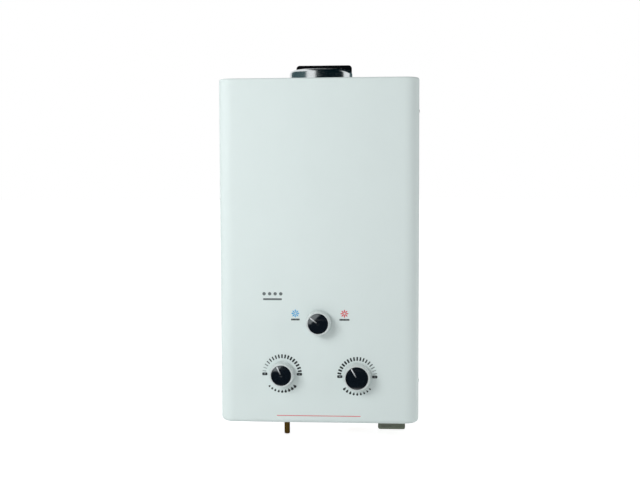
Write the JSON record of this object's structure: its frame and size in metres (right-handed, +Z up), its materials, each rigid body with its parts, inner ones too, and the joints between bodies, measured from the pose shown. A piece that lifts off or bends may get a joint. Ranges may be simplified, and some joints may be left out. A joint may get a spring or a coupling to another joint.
{
  "type": "instant gas water heater",
  "caption": "Wall-hung instant gas water heater: enamelled cover with rounded edges, flue collar, hanging bracket, control knobs, battery box and a full inner burner, exchanger and valve train.",
  "frame": {"origin": "middle of the back plate's wall face", "axes": "+Z up, +Y into the wall, +X to the viewer's right; the front faces -Y"},
  "size_m": [0.2844, 0.1452, 0.5405],
  "materials": {
    "white_enamel": "smooth semi-gloss enamel",
    "zinc_steel": "zinc-coated sheet",
    "black_paint": "semi-gloss black paint",
    "bright_steel": "bright plated steel",
    "bright_collar": "spun and polished",
    "copper": "bare copper tube and sheet",
    "dull_steel": "heat-dulled stainless sheet",
    "cast_aluminium": "die-cast",
    "brass": "turned brass",
    "ceramic": "white glazed insulator",
    "rubber": "matte black rubber",
    "dark_plastic": "moulded black plastic",
    "battery_plastic": "moulded olive-grey plastic",
    "cell_wrap": "plain printed sleeve over steel",
    "knob_silver": "satin silver moulding",
    "knob_black": "polished black disc",
    "pointer_white": "white inlay"
  },
  "bodies": {
    "casing": {"back_plate": "zinc_steel", "battery_box": "battery_plastic", "battery_cells": "cell_wrap", "battery_contacts": "brass", "bottom_plate": "zinc_steel", "bracket_rivets": "bright_steel", "burner_bars": "dull_steel", "burner_tray": "zinc_steel", "chamber_brackets": "zinc_steel", "collar_screws": "bright_steel", "cover_screws": "bright_steel", "diaphragm": "rubber", "diaphragm_cover": "cast_aluminium", "diaphragm_screws": "bright_steel", "door_hinge_pin": "bright_steel", "drain_plug": "brass", "exchanger_fins": "copper", "exchanger_tubes": "copper", "fire_chamber": "copper", "flame_sensor": "ceramic", "flue_collar": "bright_collar", "flue_hood": "zinc_steel", "front_cover": "white_enamel", "gas_inlet": "brass", "gas_inlet_nut": "brass", "gas_manifold": "cast_aluminium", "gas_riser": "cast_aluminium", "gas_valve_body": "cast_aluminium", "hanging_bracket": "black_paint", "hot_outlet": "brass", "hot_pipe": "copper", "igniter_box": "dark_plastic", "ignition_electrode": "ceramic", "injectors": "brass", "jacket_coil": "copper", "microswitch": "dark_plastic", "overheat_thermostat": "bright_steel", "season_valve": "cast_aluminium", "solenoid_valve": "dark_plastic", "top_plate": "zinc_steel", "valve_bracket": "zinc_steel", "water_inlet": "brass", "water_valve_body": "brass"},
    "season_knob": {"season_knob_body": "knob_silver", "season_knob_face": "knob_black", "season_knob_pointer": "pointer_white", "season_spindle": "bright_steel"},
    "gas_knob": {"gas_knob_body": "knob_silver", "gas_knob_face": "knob_black", "gas_knob_pointer": "pointer_white", "gas_spindle": "bright_steel"},
    "water_knob": {"water_knob_body": "knob_silver", "water_knob_face": "knob_black", "water_knob_pointer": "pointer_white", "water_spindle": "bright_steel"},
    "battery_door": {"battery_door": "battery_plastic"},
    "push_rod": {"push_rod": "bright_steel"},
    "microswitch_lever": {"microswitch_lever": "bright_steel"}
  },
  "joints": [
    {"name": "season_knob_turn", "type": "hinge", "parent": "casing", "child": "season_knob", "pos_m": [0.0005, -0.14, -0.0987], "axis": [0, -1, 0], "range_deg": [-106, 0]},
    {"name": "gas_knob_turn", "type": "hinge", "parent": "casing", "child": "gas_knob", "pos_m": [-0.0512, -0.14, -0.1716], "axis": [0, -1, 0], "range_deg": [-115.5, 64.5]},
    {"name": "water_knob_turn", "type": "hinge", "parent": "casing", "child": "water_knob", "pos_m": [0.0543, -0.14, -0.1744], "axis": [0, -1, 0], "range_deg": [-120.5, 59.5]},
    {"name": "battery_door_hinge", "type": "hinge", "parent": "casing", "child": "battery_door", "pos_m": [0.102, -0.0365, -0.2505], "axis": [1, 0, 0], "range_deg": [0, 95]},
    {"name": "push_rod_slide", "type": "slide", "parent": "casing", "child": "push_rod", "axis": [-1, 0, 0], "range_m": [0, 0.003]},
    {"name": "microswitch_lever_hinge", "type": "hinge", "parent": "casing", "child": "microswitch_lever", "pos_m": [-0.0022, -0.0726, -0.165], "axis": [0, 1, 0], "range_deg": [0, 22.1]}
  ],
  "couplings": [
    {"joint": "microswitch_lever_hinge", "follows": "push_rod_slide", "rad_per_m": 128}
  ]
}
